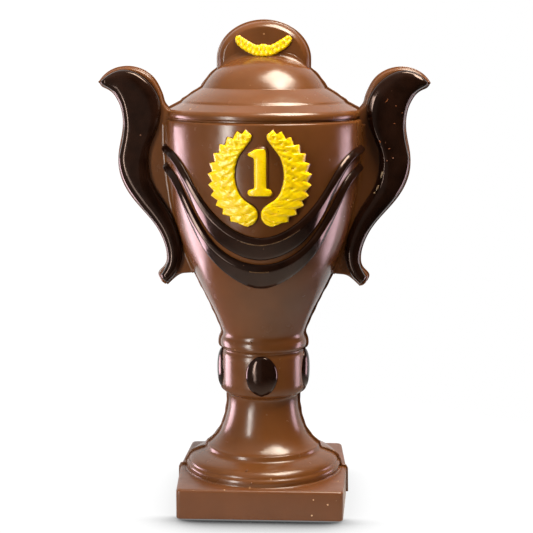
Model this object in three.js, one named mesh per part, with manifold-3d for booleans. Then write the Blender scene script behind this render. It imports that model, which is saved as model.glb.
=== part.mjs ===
// Moulded chocolate trophy cup: a milk chocolate figure of two mould halves with dark
// chocolate handles, swags and jewels and yellow cocoa butter ornament.
// Millimetres, +Z up, the front faces -Y, the origin is the centre of the base.
import * as THREE from 'three';
import { mergeVertices } from 'three/addons/utils/BufferGeometryUtils.js';
import Module from 'manifold-3d';

const wasm = await Module();
wasm.setup();

// ---- driving dimensions ----
const TOTAL_HEIGHT = 200;
const GAP = 0.3; // clearance between two neighbouring solids
const SEAM_FLASH = 0.8; // how far the mould seam stands out of the figure
const SEAM_THICKNESS = 0.8;
const SEAM_START = 1; // height above the table where the seam begins on the plinth
const ROUND_SIDES = 48; // sides of the turned body

const PLINTH_HEIGHT = 12.4;
const PLINTH_DEPTH = 70.7;
const PLINTH_WIDTH_AT_FACE = 67.5;
const PLINTH_WIDTH_AT_SEAM = 70.9; // wider at the seam: the draft of the mould
const PLINTH_EDGE = 1.2; // height and width of the worn top and bottom edges together
const PLINTH_CORNER = 1.5; // size of the rounded upright corners

const FOOT_RADIUS = 32.5;
const FOOT_STEP_RADIUS = 23.6;
const STEM_RADIUS = 14.75;
const COLLAR_RADIUS = 17.6;
const RING_RADIUS = 18.2;
const WAIST_RADIUS = 17.1;
const WAIST_HEIGHT = 72;
const CUP_RADIUS = 40.4;
const RIM_HEIGHT = 163.2;
const DOME_HEIGHT = 186;

const TAB_WIDTH = 38.6;
const TAB_ARCH = 16; // height of the half-round part of the tab
const TAB_HALF_THICKNESS = 5;
const TAB_EDGE = 2.2;
const TAB_ROOT = DOME_HEIGHT - 12; // height where the tab starts inside the lid

const HANDLE_HALF_THICKNESS = 3;
const HANDLE_EDGE = 0.8;
const PANEL_TOP = 6.4; // how far the dark panel's face stands from the seam plane
const PANEL_EDGE = 1.2;

const JEWEL_HEIGHT = 55.3;
const JEWEL_HALF_WIDTH = 6.5;
const JEWEL_HALF_HEIGHT = 8.8; // of the whole oval, a little of it sunk in the collar
const JEWEL_RELIEF = 1.9;
const JEWEL_HALF_DEPTH = 3; // of the whole oval, partly sunk in the collar

const SWAG_END_ANGLE = 80; // degrees from the front
const SWAG_RELIEF = 2.4;
const SWAG_TIP_ANGLE = 4; // degrees over which a swag's end tapers
const ORNAMENT_RELIEF = 1.8;

// ---- materials ----
const milk = new THREE.MeshStandardMaterial({ color: 0x7d4a2c, roughness: 0.38, metalness: 0 });
const dark = new THREE.MeshStandardMaterial({ color: 0x24120c, roughness: 0.2, metalness: 0 });
const yellow = new THREE.MeshStandardMaterial({ color: 0xf2d60c, roughness: 0.4, metalness: 0 });

// ---- helpers ----
const points = (pairs) => pairs.map(([a, b]) => new THREE.Vector2(a, b));
const spline = (pairs, steps) => new THREE.SplineCurve(points(pairs)).getPoints(steps);

/** Closed three.js geometry -> manifold solid. */
function solid(geometry) {
  const bare = geometry.clone();
  bare.deleteAttribute('normal');
  bare.deleteAttribute('uv');
  const merged = mergeVertices(bare, 1e-4);
  return new wasm.Manifold(new wasm.Mesh({
    numProp: 3,
    vertProperties: new Float32Array(merged.attributes.position.array),
    triVerts: new Uint32Array(merged.index.array),
  }));
}

/** Manifold solid -> three.js geometry. */
function geometryOf(manifold) {
  const mesh = manifold.getMesh();
  const geometry = new THREE.BufferGeometry();
  geometry.setAttribute('position', new THREE.BufferAttribute(new Float32Array(mesh.vertProperties), 3));
  geometry.setIndex(new THREE.BufferAttribute(new Uint32Array(mesh.triVerts), 1));
  return geometry;
}

/** Moves every vertex of a geometry by a rule (x, y, z) -> [x, y, z]. */
function reshape(geometry, rule) {
  const position = geometry.attributes.position;
  for (let i = 0; i < position.count; i += 1) {
    position.setXYZ(i, ...rule(position.getX(i), position.getY(i), position.getZ(i)));
  }
  return geometry;
}

/** Turned solid from a profile of (radius, height) points that starts and ends on the axis. */
function turned(profile) {
  return new THREE.LatheGeometry(profile, ROUND_SIDES).rotateX(Math.PI / 2);
}

/** Plate in the seam plane from an outline of (x, z): full size at y = 0, rounded to its two faces. */
function plate(outline, halfThickness, edge, roundSteps) {
  const depth = SEAM_THICKNESS;
  return new THREE.ExtrudeGeometry(new THREE.Shape(outline), {
    depth,
    bevelThickness: halfThickness - depth / 2,
    bevelSize: edge,
    bevelOffset: -edge,
    bevelSegments: roundSteps,
  }).translate(0, 0, -depth / 2).rotateX(Math.PI / 2);
}

/** A profile moved outward along its normals. */
function offsetProfile(profile, distance) {
  return profile.map((point, i) => {
    const before = profile[Math.max(i - 1, 0)];
    const after = profile[Math.min(i + 1, profile.length - 1)];
    const along = after.clone().sub(before).normalize();
    return new THREE.Vector2(Math.max(point.x + along.y * distance, 0), point.y - along.x * distance);
  });
}

const mirrored = (outline) => outline.map(({ x, y }) => new THREE.Vector2(-x, y)).reverse();

// ---- the turned body: foot, stem, collar, ring, cup and lid ----
const cupWall = [
  [WAIST_RADIUS, WAIST_HEIGHT], [19.8, 78.3], [23.5, 86], [28.6, 96.5], [33, 107], [36.6, 119.5],
  [39.2, 135], [CUP_RADIUS, 150], [40.3, 158.8],
];
const FOOT_ROOT = PLINTH_HEIGHT - 4; // the foot starts inside the plinth
const footProfile = points([
  [FOOT_RADIUS, PLINTH_HEIGHT + 1], [32, 15.8], [30.6, 17.8], [27.8, 19.2], [24.4, 20.3],
]);
const flareProfile = spline([
  [FOOT_STEP_RADIUS, 22.2], [21.4, 24.4], [18.6, 27.8], [16.9, 31.6], [15.5, 36.3], [STEM_RADIUS, 42],
], 7);
const collarProfile = points([
  [15.1, 44.4], [16.8, 46.2], [COLLAR_RADIUS, 48.6], [COLLAR_RADIUS, 61.6], [16.9, 64],
]);
const ringProfile = points([[18, 66], [RING_RADIUS, 68], [17.6, 70.4]]);
const rimProfile = points([[39.4, 160], [39.6, 161.4], [39.6, RIM_HEIGHT - 0.6], [38.8, RIM_HEIGHT + 0.7]]);
const lidProfile = points([
  [33.4, 166.6], [28.5, 170], [25.2, 172.6], [24, 174.8], [21.4, 178.8], [16.4, 182.7], [9, 185.3],
]);
const standingProfile = [
  ...footProfile, ...flareProfile, ...collarProfile, ...ringProfile, ...spline(cupWall, 11), ...rimProfile,
  ...lidProfile, new THREE.Vector2(0, DOME_HEIGHT),
];
const bodyProfile = [...points([[0, FOOT_ROOT], [FOOT_RADIUS, FOOT_ROOT]]), ...standingProfile];

const wallCurve = spline(cupWall, 60);

/** Radius of the cup wall at a height. */
function cupRadius(height) {
  const next = wallCurve.findIndex((point) => point.y >= height);
  if (next <= 0) return next === 0 ? wallCurve[0].x : wallCurve[wallCurve.length - 1].x;
  const [low, high] = [wallCurve[next - 1], wallCurve[next]];
  return THREE.MathUtils.mapLinear(height, low.y, high.y, low.x, high.x);
}

// ---- outlines in the seam plane, right half ----
const handleOutline = [
  ...points([[30, 150], [30, 165]]),
  ...spline([[38, 165], [40.8, 167.6], [41.8, 171.2], [45.2, 176.6], [50, 180], [56, 181.2], [62.6, 179.6],
    [66.6, 176.4], [67.8, 174.2]], 16),
  ...spline([[66.9, 172.9], [62.2, 169.9], [59.2, 164.4], [58.3, 157.5], [59.9, 147.5], [60.2, 139],
    [56.8, 129.8], [50.7, 122], [45.2, 115.3], [41.8, 108.6], [40.8, 102], [44.2, 95.2]], 24),
  ...spline([[43.4, 92.7], [40.2, 90.4]], 1),
  ...spline([[37.7, 92.7], [34.6, 94.9], [29.6, 95.6], [26, 94.6]], 5),
  ...points([[20, 110]]),
];
const panelOutline = [
  ...spline([[42, 165], [43.8, 170.8], [47.4, 175.5], [52.4, 178.8], [58.2, 179.8], [63.4, 177.6],
    [66.4, 174.3]], 12),
  ...spline([[61.6, 170.6], [58.5, 165], [57.5, 157.5], [59, 147.5], [59.4, 139], [56, 130.2], [50, 122.6],
    [44.5, 115.9], [41, 109], [40, 102], [43, 95.2]], 20),
  ...points([[40.3, 91.7]]),
  ...spline([[36.2, 96], [33.9, 102], [34.9, 112], [39.2, 122.4], [43.6, 129.4], [46.9, 137], [47.2, 145.2],
    [44, 154.4], [42.1, 160.8]], 15),
];
const tabOutline = [
  new THREE.Vector2(-TAB_WIDTH / 2, TAB_ROOT),
  ...new THREE.EllipseCurve(0, TOTAL_HEIGHT - TAB_ARCH, TAB_WIDTH / 2, TAB_ARCH, Math.PI, 0, true)
    .getPoints(20),
  new THREE.Vector2(TAB_WIDTH / 2, TAB_ROOT),
];

/** Square foot slab, wider at the seam than at its front and back faces. */
function plinth() {
  const [face, seam, depth] = [PLINTH_WIDTH_AT_FACE / 2, PLINTH_WIDTH_AT_SEAM / 2, PLINTH_DEPTH / 2];
  const [corner, middle] = [PLINTH_CORNER, PLINTH_CORNER * 0.3];
  const outline = points([
    [face - corner, -depth], [face - middle, -depth + middle], [face, -depth + corner], [seam, 0],
    [face, depth - corner], [face - middle, depth - middle], [face - corner, depth],
  ]);
  const around = [...outline, ...mirrored(outline)];
  const slab = new THREE.ExtrudeGeometry(new THREE.Shape(around), {
    depth: PLINTH_HEIGHT - PLINTH_EDGE,
    bevelThickness: PLINTH_EDGE / 2,
    bevelSize: PLINTH_EDGE / 2,
    bevelOffset: -PLINTH_EDGE / 2,
    bevelSegments: 1,
  });
  return slab.translate(0, 0, PLINTH_EDGE / 2);
}

/** Thin flash round the plinth and the turned body where the two mould halves meet. */
function seamFlash() {
  const side = PLINTH_WIDTH_AT_SEAM / 2 + SEAM_FLASH;
  const belowSideJewel = (point) => (Math.abs(point.y - JEWEL_HEIGHT) < JEWEL_HALF_HEIGHT + 0.5
    ? new THREE.Vector2(STEM_RADIUS, point.y) : point);
  const outline = [
    ...points([[0, SEAM_START], [side, SEAM_START], [side, PLINTH_HEIGHT]]),
    new THREE.Vector2(side - 1, PLINTH_HEIGHT + SEAM_FLASH),
    ...offsetProfile(standingProfile, SEAM_FLASH).map(belowSideJewel),
  ];
  const half = new THREE.ExtrudeGeometry(new THREE.Shape(outline), {
    depth: SEAM_THICKNESS,
    bevelEnabled: false,
  });
  half.translate(0, 0, -SEAM_THICKNESS / 2).rotateX(Math.PI / 2);
  const right = solid(half);
  return right.add(right.mirror([1, 0, 0]));
}

function milkBody() {
  const handle = solid(plate(handleOutline, HANDLE_HALF_THICKNESS, HANDLE_EDGE, 2));
  const tab = solid(plate(tabOutline, TAB_HALF_THICKNESS, TAB_EDGE, 3));
  return geometryOf(solid(turned(bodyProfile))
    .add(solid(plinth()))
    .add(seamFlash())
    .add(handle)
    .add(handle.mirror([1, 0, 0]))
    .add(tab));
}

// ---- dark chocolate ----

/** Raised S-shaped panel on the front face of a handle; side is +1 right or -1 left. */
function handlePanel(side) {
  const outline = side > 0 ? panelOutline : mirrored(panelOutline);
  const through = solid(plate(outline, PANEL_TOP, PANEL_EDGE, 2));
  const halfSpace = new THREE.BoxGeometry(TOTAL_HEIGHT, TOTAL_HEIGHT, TOTAL_HEIGHT * 2)
    .translate(0, -TOTAL_HEIGHT / 2 - HANDLE_HALF_THICKNESS - GAP, 0);
  return geometryOf(through.intersect(solid(halfSpace)));
}

/** Oval jewel on the collar, its back fitted to the collar's round. */
function jewel() {
  const oval = new THREE.SphereGeometry(1, 18, 12).rotateX(Math.PI / 2);
  oval.scale(JEWEL_HALF_WIDTH, JEWEL_HALF_DEPTH, JEWEL_HALF_HEIGHT);
  oval.translate(0, JEWEL_HALF_DEPTH - JEWEL_RELIEF - COLLAR_RADIUS, JEWEL_HEIGHT);
  const around = [...flareProfile, ...collarProfile, ...ringProfile];
  const cleared = [
    new THREE.Vector2(0, around[0].y), ...offsetProfile(around, GAP),
    new THREE.Vector2(0, WAIST_HEIGHT),
  ];
  return geometryOf(solid(oval).subtract(solid(turned(cleared))));
}

// A swag's edges as [degrees from the front, height]; the first point only steers the curve's start.
const swagEdges = {
  upper: {
    top: [[-20, 119.8], [0, 115.3], [20, 119.8], [30, 125.3], [40, 133.6], [50, 142.6], [60, 147.6],
      [80, 150.4]],
    bottom: [[-20, 109.3], [0, 105.8], [20, 109.3], [30, 113.8], [40, 122.8], [50, 134.8], [60, 142.6],
      [80, 145.6]],
  },
  lower: {
    top: [[-20, 107], [0, 104.1], [20, 107], [30, 111.4], [40, 119.6], [50, 130.4], [60, 138.6],
      [80, 142.9]],
    bottom: [[-20, 97], [0, 93.6], [20, 97], [30, 101], [40, 107.2], [50, 120.4], [60, 132.8], [80, 138]],
  },
};

/** Draped swag on the front of the cup: a box grid bent round the wall between two edge curves. */
function swag(edges) {
  const [top, bottom] = [spline(edges.top, 120), spline(edges.bottom, 120)];
  const heightOn = (curve, angle) => {
    const next = Math.max(curve.findIndex((point) => point.x >= angle - 1e-6), 1);
    const [low, high] = [curve[next - 1], curve[next]];
    return THREE.MathUtils.mapLinear(angle, low.x, high.x, low.y, high.y);
  };
  const relief = [0.9, 1, 0.85, 0.45]; // across the cloth from its top edge to its bottom edge
  const rows = relief.length - 1;
  const grid = new THREE.BoxGeometry(2, 1, 1, 36, rows, 1);
  return reshape(grid, (x, y, z) => {
    const angle = x * SWAG_END_ANGLE;
    const across = 0.5 - y;
    const [high, low] = [heightOn(top, Math.abs(angle)), heightOn(bottom, Math.abs(angle))];
    const end = Math.max((Math.abs(angle) - SWAG_END_ANGLE) / SWAG_TIP_ANGLE + 1, 0);
    const narrowing = Math.sqrt(1 - 0.84 * end * end);
    const height = (high + low) / 2 + (0.5 - across) * (high - low) * narrowing;
    const standing = z > 0 ? SWAG_RELIEF * relief[Math.round(across * rows)] : GAP;
    const radius = cupRadius(height) + standing;
    const turn = THREE.MathUtils.degToRad(angle);
    return [radius * Math.sin(turn), -radius * Math.cos(turn), height];
  });
}

// ---- yellow ornament ----

/** Rule that lays a flat piece (x across, z up, -y outward from 0) on the front of the cup. */
function ontoCup(x, y, z) {
  const radius = cupRadius(z) + GAP + (y < 0 ? ORNAMENT_RELIEF - GAP : 0);
  return [x, -Math.sqrt(radius * radius - x * x), z];
}

const WREATH = {
  height: 138.6, outer: 18.5, tooth: 1.7, leaves: 12, inner: 9.5, flareTop: 5.5, flareBottom: 2.3,
};
const WREATH_START = 77; // degrees above and below the middle where a half begins and ends
const WREATH_END = -84;

/** One half of the wreath, right (+1) or left (-1): a band whose outer edge is cut into leaves. */
function wreathHalf(side) {
  const grid = new THREE.BoxGeometry(1, 1, 1, WREATH.leaves * 3, 2, 1);
  return reshape(grid, (x, y, z) => {
    const along = 0.5 + side * x;
    const angle = THREE.MathUtils.degToRad(THREE.MathUtils.lerp(WREATH_START, WREATH_END, along));
    const [up, down] = [Math.max(Math.sin(angle), 0), Math.max(-Math.sin(angle), 0)];
    const saw = (along * WREATH.leaves + 0.01) % 1;
    const outer = WREATH.outer + (saw < 0.5 ? WREATH.tooth : 0);
    const inner = WREATH.inner + WREATH.flareTop * up ** 2.2 + WREATH.flareBottom * down ** 4;
    const radius = THREE.MathUtils.lerp(inner, outer, 0.5 + y);
    const height = WREATH.height + radius * Math.sin(angle);
    const [px, py, pz] = ontoCup(radius * Math.cos(angle), z > 0 ? -1 : 0, height);
    return [side * px, py, pz];
  });
}

/** Numeral one with a flag and a foot serif. */
function numeral() {
  const outline = points([
    [2.7, 149.2], [1.9, 150.7], [-2.4, 149.9], [-4.6, 148.4], [-1.9, 146.7], [-1.9, 135.4],
    [-4.4, 134.2], [-4.7, 132.6], [-2, 131.8], [0.5, 131.6], [3.4, 131.8], [5.1, 132.6], [5, 134.2],
    [2.7, 135.4],
  ]);
  const flat = new THREE.ExtrudeGeometry(new THREE.Shape(outline), { depth: 1, bevelEnabled: false });
  flat.rotateX(Math.PI / 2);
  return reshape(flat, (x, y, z) => ontoCup(x, y < -0.5 ? -1 : 0, z));
}

// The laurel's middle height, how far its tips rise above it, and its size.
const TAB_LAUREL = { halfSpan: 11.5, halfWidth: 2.4, middle: 187.3, rise: 3.5, relief: 1.2 };

/** Small laurel on the face of the tab, its lowest leaves fitted to the dome. */
function tabLaurel() {
  const { halfSpan, halfWidth, middle, rise, relief } = TAB_LAUREL;
  const grid = new THREE.BoxGeometry(2, 1, 1, 24, 2, 1);
  const face = TAB_HALF_THICKNESS + GAP;
  const laurel = reshape(grid, (x, y, z) => {
    const across = y * 2 * halfWidth * (Math.abs(x) > 0.99 ? 0.5 : 1);
    return [x * halfSpan, -(z > 0 ? face + relief : face), middle + rise * Math.abs(x) ** 1.6 + across];
  });
  const dome = [
    new THREE.Vector2(0, RIM_HEIGHT), ...offsetProfile(lidProfile, GAP),
    new THREE.Vector2(0, DOME_HEIGHT + GAP),
  ];
  return geometryOf(solid(laurel).subtract(solid(turned(dome))));
}

// ---- the trophy ----
const trophy = new THREE.Group();

/** Adds one named piece; the turn is about the vertical axis, in half or quarter turns. */
function piece(name, geometry, material, turn = 0) {
  const mesh = new THREE.Mesh(geometry, material);
  mesh.name = name;
  mesh.rotation.z = turn;
  trophy.add(mesh);
}

piece('body', milkBody(), milk);

const QUARTER = Math.PI / 2;
['front', 'right', 'back', 'left'].forEach((where, i) => {
  piece(`jewel_${where}`, jewel(), dark, i * QUARTER);
});

for (const [face, turn] of [['front', 0], ['back', Math.PI]]) {
  piece(`handle_panel_right_${face}`, handlePanel(1), dark, turn);
  piece(`handle_panel_left_${face}`, handlePanel(-1), dark, turn);
  piece(`swag_upper_${face}`, swag(swagEdges.upper), dark, turn);
  piece(`swag_lower_${face}`, swag(swagEdges.lower), dark, turn);
  piece(`wreath_right_${face}`, wreathHalf(1), yellow, turn);
  piece(`wreath_left_${face}`, wreathHalf(-1), yellow, turn);
  piece(`numeral_${face}`, numeral(), yellow, turn);
  piece(`tab_laurel_${face}`, tabLaurel(), yellow, turn);
}

export default trophy;
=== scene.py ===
"""Moulded chocolate trophy cup: the looks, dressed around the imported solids.

The figure is cast in a mould of two halves, so a thin seam runs round its outline in the plane
y = 0. Sizes in the classes are millimetres; meshes are written in metres. The front faces -Y and
+Z is up. Relief on a face is worked out in face coordinates (across, depth, height): depth is
how far a point stands out of what it lies on, the round cup wall or a flat plate. A band of
relief is a grid: rows follow one another along the band, and shares from 0 to 1 lead across it
from edge to edge.
"""
import logging
import math
from dataclasses import dataclass
from enum import Enum

import bpy
import numpy as np
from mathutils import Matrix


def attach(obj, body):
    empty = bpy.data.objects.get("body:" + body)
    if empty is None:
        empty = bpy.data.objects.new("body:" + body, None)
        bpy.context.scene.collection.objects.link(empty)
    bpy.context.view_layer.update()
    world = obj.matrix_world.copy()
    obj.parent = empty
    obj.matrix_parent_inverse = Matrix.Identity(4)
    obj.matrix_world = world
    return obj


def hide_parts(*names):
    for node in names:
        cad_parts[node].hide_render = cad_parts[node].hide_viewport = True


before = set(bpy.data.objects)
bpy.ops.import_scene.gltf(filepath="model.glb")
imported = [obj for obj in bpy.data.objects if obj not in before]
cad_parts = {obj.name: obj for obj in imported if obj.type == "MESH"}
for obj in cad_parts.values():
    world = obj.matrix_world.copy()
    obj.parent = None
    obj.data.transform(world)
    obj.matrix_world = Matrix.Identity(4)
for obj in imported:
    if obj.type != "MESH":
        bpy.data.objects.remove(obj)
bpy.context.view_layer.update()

log = logging.getLogger("trophy")

MM = 0.001
BODY = "root"
BURIED = 0.4  # how deep the edges of a relief reach into what it lies on
Array = np.ndarray
Points = tuple[tuple[float, ...], ...]  # points (x, y), or corners (x, y, radius)


class Face(Enum):
    """The two faces of the figure, each from its own mould half. The value is the number of
    quarter turns about the vertical axis that bring a piece made for the front onto the face."""

    FRONT = 0
    BACK = 2


class Side(Enum):
    """The two sides of a face, seen from in front of it. The value is the sign of x there."""

    RIGHT = 1
    LEFT = -1


# ---------------------------------------------------------------- finishes


def linear(srgb_hex: str) -> tuple[float, float, float, float]:
    """Turns an sRGB colour to linear light, by the standard's straight foot and power curve.

    Args:
        srgb_hex: the colour as "#rrggbb".

    Returns:
        Linear red, green and blue, and alpha 1.
    """
    srgb = np.array([int(srgb_hex[i:i + 2], 16) for i in (1, 3, 5)]) / 255
    rgb = np.where(srgb <= 0.04045, srgb / 12.92, ((srgb + 0.055) / 1.055) ** 2.4)
    return (*rgb.tolist(), 1.0)


def add_node(tree: bpy.types.NodeTree, kind: str, inputs: dict | None = None,
             **settings: object) -> bpy.types.Node:
    """Adds a node, sets its properties and fills its inputs.

    Args:
        tree: the node tree.
        kind: the node's type name.
        inputs: input name or number to a value, or to the output socket that feeds it.
        settings: the node's own properties.

    Returns:
        The node.
    """
    node = tree.nodes.new(kind)
    for name, value in settings.items():
        setattr(node, name, value)
    for name, value in (inputs or {}).items():
        if isinstance(value, bpy.types.NodeSocket):
            tree.links.new(value, node.inputs[name])
        else:
            node.inputs[name].default_value = value
    return node


@dataclass(frozen=True)
class Chocolate:
    """A tempered coating that took the polish of its mould: satin to glossy, slightly mottled,
    with a faint orange-peel bump, and small pale specks where air or crumbs broke the skin."""

    name: str
    slot: str
    colour: str
    mottle: str
    speck: str
    roughness: float
    roughness_swing: float
    ior: float = 1.46  # cocoa butter
    sheen_colour: str = "#ffffff"
    subsurface: float = 0.0
    subsurface_mm: float = 0.8
    # Red light goes the furthest into chocolate and blue the least.
    subsurface_reach: tuple[float, float, float] = (1.0, 0.45, 0.2)
    mottle_mm: float = 16.0
    peel_mm: float = 3.0
    peel_depth_mm: float = 0.012  # of the bump, from its lowest to its highest
    speck_cell_mm: float = 7.0  # a cell holds one speck at most
    speck_radius_mm: float = 0.22

    def material(self) -> bpy.types.Material:
        """The finish's material, made the first time that it is asked for."""
        return bpy.data.materials.get(self.name) or self._make_material()

    def _make_material(self) -> bpy.types.Material:
        """Builds the procedural nodes, on Object coordinates in metres. Three noises have the
        middle of their values spread over what they drive: the share of the mottle colour, the
        roughness, and the radius of the specks. A fourth is the height of the bump.

        Returns:
            The new material.
        """
        material = bpy.data.materials.new(self.name)
        material.use_nodes = True
        tree = material.node_tree
        place = add_node(tree, "ShaderNodeTexCoord").outputs["Object"]
        gloss, swing = self.roughness, self.roughness_swing
        largest_speck = 2.2 * self.speck_radius_mm / self.speck_cell_mm
        driven = {}
        for use, lump_mm, detail, low, high, least, most in (
                ("mottle", self.mottle_mm, 3.0, 0.35, 0.65, 0.0, 1.0),
                ("gloss", self.mottle_mm / 3, 4.0, 0.3, 0.7, gloss - swing, gloss + swing),
                ("speck", self.speck_cell_mm / 3, 0.0, 0.45, 0.75, 0.0, largest_speck)):
            noise = add_node(tree, "ShaderNodeTexNoise", {
                "Vector": place, "Scale": 1 / (lump_mm * MM), "Detail": detail, "Roughness": 0.5})
            driven[use] = add_node(tree, "ShaderNodeMapRange", {
                "Value": noise.outputs["Fac"], "From Min": low, "From Max": high,
                "To Min": least, "To Max": most}).outputs["Result"]
        # A speck is where the nearest of the cells' random centres is within its radius.
        near = add_node(tree, "ShaderNodeTexVoronoi", {
            "Vector": place, "Scale": 1 / (self.speck_cell_mm * MM)})
        specked = add_node(tree, "ShaderNodeMath", {
            0: near.outputs["Distance"], 1: driven["speck"]}, operation="LESS_THAN")
        colour = linear(self.colour)
        for share, other in ((driven["mottle"], self.mottle), (specked.outputs[0], self.speck)):
            colour = add_node(tree, "ShaderNodeMix", {0: share, 6: colour, 7: linear(other)},
                              data_type="RGBA").outputs[2]
        skin = add_node(tree, "ShaderNodeTexNoise", {
            "Vector": place, "Scale": 1 / (self.peel_mm * MM), "Detail": 1.0, "Roughness": 0.5})
        peel = add_node(tree, "ShaderNodeBump", {
            "Height": skin.outputs["Fac"], "Distance": self.peel_depth_mm * MM})
        shader = tree.nodes["Principled BSDF"].inputs
        tree.links.new(colour, shader["Base Color"])
        tree.links.new(driven["gloss"], shader["Roughness"])
        tree.links.new(peel.outputs["Normal"], shader["Normal"])
        shader["IOR"].default_value = self.ior
        shader["Specular Tint"].default_value = linear(self.sheen_colour)
        shader["Subsurface Weight"].default_value = self.subsurface
        shader["Subsurface Radius"].default_value = self.subsurface_reach
        shader["Subsurface Scale"].default_value = self.subsurface_mm * MM
        return material


# Cast against a polished mould: a satin gloss with soft-edged highlights on a warm, faintly
# cloudy brown, because light goes a little way into it.
MILK = Chocolate("Milk chocolate, moulded", "milk_chocolate", "#643a1b", "#5c3517", "#9c704a",
                 roughness=0.23, roughness_swing=0.05, sheen_colour="#fffaf4", subsurface=0.08)
# The slab that the figure stands on has been rubbed: its skin is duller and grainier, with more
# and paler specks.
MILK_BASE = Chocolate("Milk chocolate, scuffed base", "milk_chocolate", "#65391a", "#5d3416",
                      "#c9a27c", roughness=0.34, roughness_swing=0.06, subsurface=0.08,
                      peel_mm=1.6, peel_depth_mm=0.04, speck_cell_mm=4.0, speck_radius_mm=0.2)
# More cocoa and no milk: nearly black, so that the sharp highlights do most of the drawing, and
# they are tinted a little by the cocoa butter.
DARK = Chocolate("Dark chocolate, moulded", "dark_chocolate", "#140804", "#1f0f08", "#5f4030",
                 roughness=0.15, roughness_swing=0.05, sheen_colour="#f2d0be", mottle_mm=7.0,
                 speck_cell_mm=6.0, speck_radius_mm=0.2)
# Coloured cocoa butter brushed into the mould: opaque and satin, a little patchy from the brush,
# with small ochre specks.
YELLOW = Chocolate("Yellow cocoa butter, brushed in the mould", "yellow_cocoa_butter", "#fbd400",
                   "#efc500", "#c99a08", roughness=0.3, roughness_swing=0.06, subsurface=0.1,
                   mottle_mm=3.0, speck_cell_mm=3.0, speck_radius_mm=0.18)
# Broken, not moulded, so it has no polish: dull and a more orange brown.
CRUMB = Chocolate("Milk chocolate crumbs", "milk_chocolate", "#8a4a1c", "#7a3d18", "#a0744c",
                  roughness=0.45, roughness_swing=0.05)
# A thin line along the swags' crests: a duller, golden brown in the black gloss.
CREST_LINE = Chocolate("Dark chocolate, scuffed crest", "dark_chocolate", "#5e4222", "#3a2410",
                  "#8a6a3c", roughness=0.35, roughness_swing=0.05, mottle_mm=2.0)
# Thin smears on the dark panel: the palest and dullest of all, a greyish brown.
SCRAPING = Chocolate("Milk chocolate scrapings", "milk_chocolate", "#93826e", "#8a6a48", "#b8ab98",
                     roughness=0.5, roughness_swing=0.05, mottle_mm=1.0)


# ---------------------------------------------------------------- curves and bands


def unit(vectors: Array) -> Array:
    """The vectors along the last axis, scaled to length 1."""
    return vectors / np.linalg.norm(vectors, axis=-1, keepdims=True)


def normals(path: Array) -> Array:
    """Unit normals (n, 2) of a path of points (x, z), to the right of the way it runs."""
    along = unit(np.gradient(path, axis=0))
    return np.stack([along[:, 1], -along[:, 0]], -1)


def walked(path: Array) -> Array:
    """The length walked along a path up to each of its points."""
    return np.concatenate([[0], np.cumsum(np.linalg.norm(np.diff(path, axis=0), axis=1))])


def smooth_curve(points: Points, count: int) -> Array:
    """Natural cubic spline through the points, with the distance between points as its parameter.

    Args:
        points: the points that the curve passes through.
        count: how many evenly spaced points to return.

    Returns:
        Array (count, dimensions).
    """
    p = np.asarray(points, float)
    s = walked(p)
    h = np.diff(s)
    system = np.eye(len(p))
    inner = np.arange(1, len(p) - 1)
    system[inner, inner - 1] = h[:-1]
    system[inner, inner] = 2 * (h[:-1] + h[1:])
    system[inner, inner + 1] = h[1:]
    slope = np.diff(p, axis=0) / h[:, None]
    bend = np.zeros_like(p)
    bend[1:-1] = 6 * np.diff(slope, axis=0)
    bend = np.linalg.solve(system, bend)
    u = np.linspace(0, s[-1], count)
    k = np.clip(np.searchsorted(s, u, side="right") - 1, 0, len(p) - 2)
    t, hk = (u - s[k])[:, None], h[k][:, None]
    start = slope[k] - hk * (2 * bend[k] + bend[k + 1]) / 6
    return p[k] + t * start + t**2 * bend[k] / 2 + t**3 * (bend[k + 1] - bend[k]) / (6 * hk)


def symmetric_curve(half: Points, count: int) -> Array:
    """Smooth curve through a right half, given from the middle outwards, and its mirror image."""
    return smooth_curve([(-x, y) for x, y in half[:0:-1]] + [*half], count)


def rounded(corners: Array | Points, steps: int) -> Array:
    """Open polyline whose corners are rounded: each corner becomes a parabola between two points
    one radius away along its two sides, or nearly halfway where a side is shorter than that.

    Args:
        corners: rows of (x, y, radius).
        steps: points in each rounded corner.

    Returns:
        Array (n, 2).
    """
    most_of_side, shortest = 0.48, 1e-9
    c = np.asarray(corners, float)
    p, radius = c[:, :2], c[:, 2:3].copy()
    radius[[0, -1]] = 0
    ends = []
    for shift in (1, -1):
        side = np.roll(p, shift, axis=0) - p
        length = np.maximum(np.linalg.norm(side, axis=1, keepdims=True), shortest)
        ends.append(p + side / length * np.minimum(radius, most_of_side * length))
    start, end = (points[:, None] for points in ends)
    t = np.linspace(0, 1, steps)[None, :, None]
    bends = (1 - t) ** 2 * start + 2 * t * (1 - t) * p[:, None] + t**2 * end
    return bends[(radius > 0) | (np.arange(steps)[None] == 0)]


def rows_to_end(count: int) -> Array:
    """For each row of a band, as a column, how many rows it is from the nearer end."""
    return np.minimum(np.arange(count), np.arange(count)[::-1])[:, None]


def edge_shares(count: int) -> Array:
    """Shares across a band, denser by a cosine near its edges, and each edge again for burying."""
    even = 0.5 - 0.5 * np.cos(np.linspace(0, math.pi, count))
    return np.concatenate([[0], even, [1]])


def across_band(inner: Array, outer: Array, share: Array) -> Array:
    """Points (rows, shares, 2) at shares of the way between a band's paired edge points."""
    return inner[:, None] * (1 - share[:, None]) + outer[:, None] * share[:, None]


def quarter_round(share: Array) -> Array:
    """Height of a quarter circle at a share of the way from its foot to its top."""
    return np.sqrt(1 - (1 - share) ** 2)


# ---------------------------------------------------------------- pieces


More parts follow.
